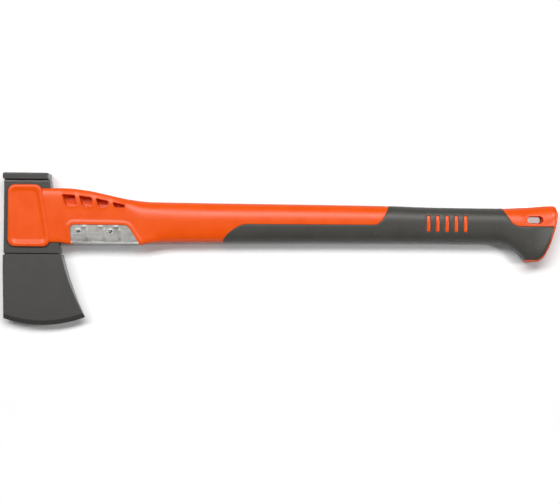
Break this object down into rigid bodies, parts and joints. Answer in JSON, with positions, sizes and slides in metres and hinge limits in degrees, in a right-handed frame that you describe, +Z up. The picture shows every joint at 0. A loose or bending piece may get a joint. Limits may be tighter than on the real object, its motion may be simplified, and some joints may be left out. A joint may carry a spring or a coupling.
{
  "type": "felling axe",
  "caption": "Short axe with a coated steel head, hammer poll, moulded orange handle, soft grip, steel overstrike guard and a hanging slot in the knob.",
  "frame": {"origin": "centre of the axe's length and height, on the surface that its cheek lies on", "axes": "+X along the handle from head to butt, +Y from the cutting edge to the poll, +Z up from the cheek it lies on"},
  "size_m": [0.6, 0.165, 0.026],
  "materials": {
    "coated_steel": "dark grey coating, satin, bare at the ground bevel",
    "orange_nylon": "satin glass-filled nylon, fine moulded texture",
    "soft_grip": "matte soft overmould",
    "guard_steel": "mill-finish stainless sheet",
    "rivet_steel": "polished dome"
  },
  "bodies": {
    "root": {"axe_head": "coated_steel", "handle_core": "orange_nylon", "grip_sleeve": "soft_grip", "butt_cap": "orange_nylon", "overstrike_guard": "guard_steel", "guard_rivet_front": "rivet_steel", "guard_rivet_rear": "rivet_steel"}
  },
  "joints": []
}
